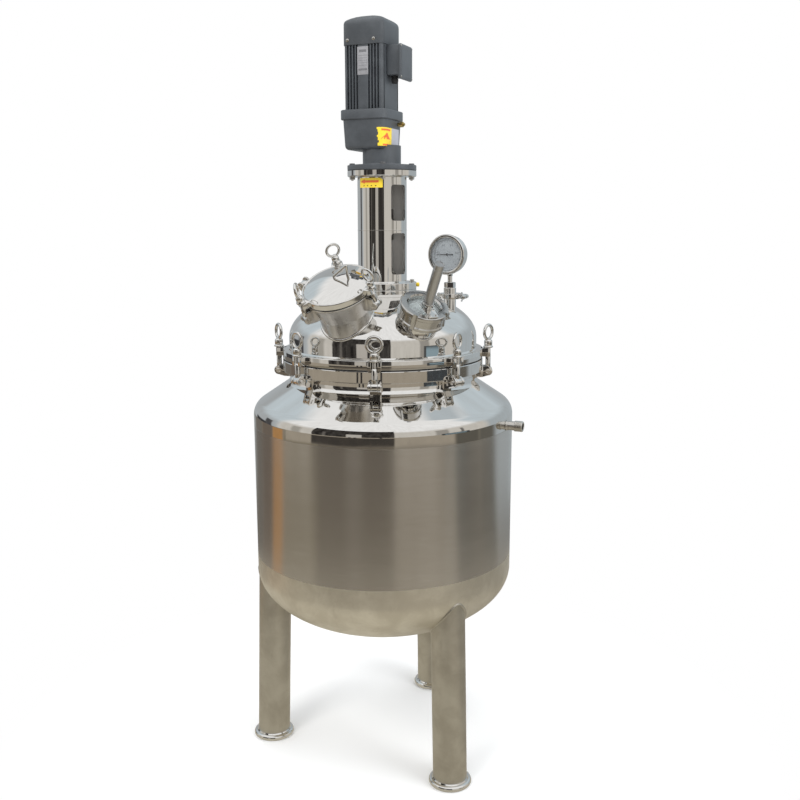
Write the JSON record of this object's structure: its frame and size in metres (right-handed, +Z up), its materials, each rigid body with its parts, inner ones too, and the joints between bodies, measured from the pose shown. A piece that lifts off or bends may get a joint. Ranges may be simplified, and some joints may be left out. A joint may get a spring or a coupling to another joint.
{
  "type": "reaction kettle",
  "caption": "Upright jacketed stainless reaction kettle with bolted dome lid, manhole, sight glass, pressure gauge and top-mounted stirrer drive on tubular legs.",
  "frame": {"origin": "on the floor, on the vessel's upright axis", "axes": "+Z is up along the vessel's axis; -Y is the side that carries the manhole and the sight glass; +X is the side of the gauge and the jacket nozzle"},
  "size_m": [0.7413, 0.7, 1.966],
  "materials": {
    "black_rubber": "matte black",
    "brass": "bare brass",
    "brushed_steel": "fine-brushed stainless steel",
    "clear_glass": "clear, dark behind",
    "dark_steel": "oiled dark steel",
    "dial_white": "satin white",
    "lamp_grey": "satin grey",
    "matte_steel": "matte, finely pitted stainless steel",
    "motor_paint": "satin dark grey-blue paint",
    "needle_black": "satin black",
    "polished_steel": "mirror-polished stainless steel"
  },
  "bodies": {
    "kettle": {"cable_gland": "black_rubber", "fan_cover": "motor_paint", "gauge_adapter": "polished_steel", "gauge_case": "polished_steel", "gauge_clamp": "polished_steel", "gauge_dial": "dial_white", "gauge_pipe": "polished_steel", "gauge_window": "clear_glass", "gear_case": "motor_paint", "inner_vessel": "polished_steel", "lamp": "lamp_grey", "lamp_bracket": "polished_steel", "lantern": "polished_steel", "leg_left": "matte_steel", "leg_rear": "matte_steel", "leg_right": "matte_steel", "lid": "polished_steel", "lid_gasket": "black_rubber", "manhole_cover": "polished_steel", "manhole_gasket": "black_rubber", "manhole_neck": "brushed_steel", "mechanical_seal": "polished_steel", "motor_housing": "motor_paint", "outer_jacket": "brushed_steel", "side_nozzle": "polished_steel", "sight_gasket": "black_rubber", "sight_glass": "clear_glass", "sight_neck": "polished_steel", "sight_nut": "polished_steel", "terminal_box": "motor_paint", "terminal_lid": "motor_paint", "vent_plug": "brass"},
    "agitator": {"agitator_shaft": "polished_steel", "anchor_stirrer": "polished_steel", "coupling": "dark_steel", "output_shaft": "dark_steel"},
    "lid_bolt_1": {"lid_bolt_1": "polished_steel"},
    "lid_eye_nut_1": {"lid_eye_nut_1": "polished_steel"},
    "lid_bolt_2": {"lid_bolt_2": "polished_steel"},
    "lid_eye_nut_2": {"lid_eye_nut_2": "polished_steel"},
    "lid_bolt_3": {"lid_bolt_3": "polished_steel"},
    "lid_eye_nut_3": {"lid_eye_nut_3": "polished_steel"},
    "lid_bolt_4": {"lid_bolt_4": "polished_steel"},
    "lid_eye_nut_4": {"lid_eye_nut_4": "polished_steel"},
    "lid_bolt_5": {"lid_bolt_5": "polished_steel"},
    "lid_eye_nut_5": {"lid_eye_nut_5": "polished_steel"},
    "lid_bolt_6": {"lid_bolt_6": "polished_steel"},
    "lid_eye_nut_6": {"lid_eye_nut_6": "polished_steel"},
    "lid_bolt_7": {"lid_bolt_7": "polished_steel"},
    "lid_eye_nut_7": {"lid_eye_nut_7": "polished_steel"},
    "lid_bolt_8": {"lid_bolt_8": "polished_steel"},
    "lid_eye_nut_8": {"lid_eye_nut_8": "polished_steel"},
    "manhole_bolt_1": {"manhole_bolt_1": "polished_steel"},
    "manhole_eye_nut_1": {"manhole_eye_nut_1": "polished_steel"},
    "manhole_bolt_2": {"manhole_bolt_2": "polished_steel"},
    "manhole_eye_nut_2": {"manhole_eye_nut_2": "polished_steel"},
    "manhole_bolt_3": {"manhole_bolt_3": "polished_steel"},
    "manhole_eye_nut_3": {"manhole_eye_nut_3": "polished_steel"},
    "gauge_needle": {"gauge_needle": "needle_black"},
    "gauge_wing_nut": {"gauge_wing_nut": "polished_steel"}
  },
  "joints": [
    {"name": "agitator_spin", "type": "hinge", "parent": "kettle", "child": "agitator", "pos_m": [0, 0, 1.44501], "axis": [0, 0, 1], "continuous": true},
    {"name": "lid_bolt_1_swing", "type": "hinge", "parent": "kettle", "child": "lid_bolt_1", "pos_m": [-0.02122, -0.2822, 1.058], "axis": [0.9972, -0.075, 0], "range_deg": [0, 120]},
    {"name": "lid_eye_nut_1_turn", "type": "hinge", "parent": "lid_bolt_1", "child": "lid_eye_nut_1", "pos_m": [-0.02122, -0.2822, 1.058], "axis": [0, 0, 1], "continuous": true},
    {"name": "lid_bolt_2_swing", "type": "hinge", "parent": "kettle", "child": "lid_bolt_2", "pos_m": [0.18454, -0.21455, 1.058], "axis": [0.7581, 0.6521, 0], "range_deg": [0, 120]},
    {"name": "lid_eye_nut_2_turn", "type": "hinge", "parent": "lid_bolt_2", "child": "lid_eye_nut_2", "pos_m": [0.18454, -0.21455, 1.058], "axis": [0, 0, 1], "continuous": true},
    {"name": "lid_bolt_3_swing", "type": "hinge", "parent": "kettle", "child": "lid_bolt_3", "pos_m": [0.2822, -0.02122, 1.058], "axis": [0.075, 0.9972, 0], "range_deg": [0, 120]},
    {"name": "lid_eye_nut_3_turn", "type": "hinge", "parent": "lid_bolt_3", "child": "lid_eye_nut_3", "pos_m": [0.2822, -0.02122, 1.058], "axis": [0, 0, 1], "continuous": true},
    {"name": "lid_bolt_4_swing", "type": "hinge", "parent": "kettle", "child": "lid_bolt_4", "pos_m": [0.21455, 0.18454, 1.058], "axis": [-0.6521, 0.7581, 0], "range_deg": [0, 120]},
    {"name": "lid_eye_nut_4_turn", "type": "hinge", "parent": "lid_bolt_4", "child": "lid_eye_nut_4", "pos_m": [0.21455, 0.18454, 1.058], "axis": [0, 0, 1], "continuous": true},
    {"name": "lid_bolt_5_swing", "type": "hinge", "parent": "kettle", "child": "lid_bolt_5", "pos_m": [0.02122, 0.2822, 1.058], "axis": [-0.9972, 0.075, 0], "range_deg": [0, 120]},
    {"name": "lid_eye_nut_5_turn", "type": "hinge", "parent": "lid_bolt_5", "child": "lid_eye_nut_5", "pos_m": [0.02122, 0.2822, 1.058], "axis": [0, 0, 1], "continuous": true},
    {"name": "lid_bolt_6_swing", "type": "hinge", "parent": "kettle", "child": "lid_bolt_6", "pos_m": [-0.18454, 0.21455, 1.058], "axis": [-0.7581, -0.6521, 0], "range_deg": [0, 120]},
    {"name": "lid_eye_nut_6_turn", "type": "hinge", "parent": "lid_bolt_6", "child": "lid_eye_nut_6", "pos_m": [-0.18454, 0.21455, 1.058], "axis": [0, 0, 1], "continuous": true},
    {"name": "lid_bolt_7_swing", "type": "hinge", "parent": "kettle", "child": "lid_bolt_7", "pos_m": [-0.2822, 0.02122, 1.058], "axis": [-0.075, -0.9972, 0], "range_deg": [0, 120]},
    {"name": "lid_eye_nut_7_turn", "type": "hinge", "parent": "lid_bolt_7", "child": "lid_eye_nut_7", "pos_m": [-0.2822, 0.02122, 1.058], "axis": [0, 0, 1], "continuous": true},
    {"name": "lid_bolt_8_swing", "type": "hinge", "parent": "kettle", "child": "lid_bolt_8", "pos_m": [-0.21455, -0.18454, 1.058], "axis": [0.6521, -0.7581, 0], "range_deg": [0, 120]},
    {"name": "lid_eye_nut_8_turn", "type": "hinge", "parent": "lid_bolt_8", "child": "lid_eye_nut_8", "pos_m": [-0.21455, -0.18454, 1.058], "axis": [0, 0, 1], "continuous": true},
    {"name": "manhole_bolt_1_swing", "type": "hinge", "parent": "kettle", "child": "manhole_bolt_1", "pos_m": [-0.0162, -0.26008, 1.25868], "axis": [0.4649, 0.7147, 0.5226], "range_deg": [0, 95]},
    {"name": "manhole_eye_nut_1_turn", "type": "hinge", "parent": "manhole_bolt_1", "child": "manhole_eye_nut_1", "pos_m": [-0.0162, -0.26008, 1.25868], "axis": [-0.2304, -0.4723, 0.8508], "continuous": true},
    {"name": "manhole_bolt_2_swing", "type": "hinge", "parent": "kettle", "child": "manhole_bolt_2", "pos_m": [-0.10417, -0.1208, 1.31218], "axis": [-0.9728, 0.0894, -0.2137], "range_deg": [0, 95]},
    {"name": "manhole_eye_nut_2_turn", "type": "hinge", "parent": "manhole_bolt_2", "child": "manhole_eye_nut_2", "pos_m": [-0.10417, -0.1208, 1.31218], "axis": [-0.2304, -0.4723, 0.8508], "continuous": true},
    {"name": "manhole_bolt_3_swing", "type": "hinge", "parent": "kettle", "child": "manhole_bolt_3", "pos_m": [-0.18469, -0.24459, 1.22166], "axis": [0.5079, -0.8041, -0.3089], "range_deg": [0, 95]},
    {"name": "manhole_eye_nut_3_turn", "type": "hinge", "parent": "manhole_bolt_3", "child": "manhole_eye_nut_3", "pos_m": [-0.18469, -0.24459, 1.22166], "axis": [-0.2304, -0.4723, 0.8508], "continuous": true},
    {"name": "gauge_needle_turn", "type": "hinge", "parent": "kettle", "child": "gauge_needle", "pos_m": [0.17464, -0.07485, 1.36908], "axis": [-0.515, -0.8572, 0], "range_deg": [-225, 45]},
    {"name": "gauge_wing_nut_turn", "type": "hinge", "parent": "kettle", "child": "gauge_wing_nut", "pos_m": [0.2068, -0.10416, 1.26258], "axis": [-0.5, -0.866, 0], "continuous": true}
  ]
}
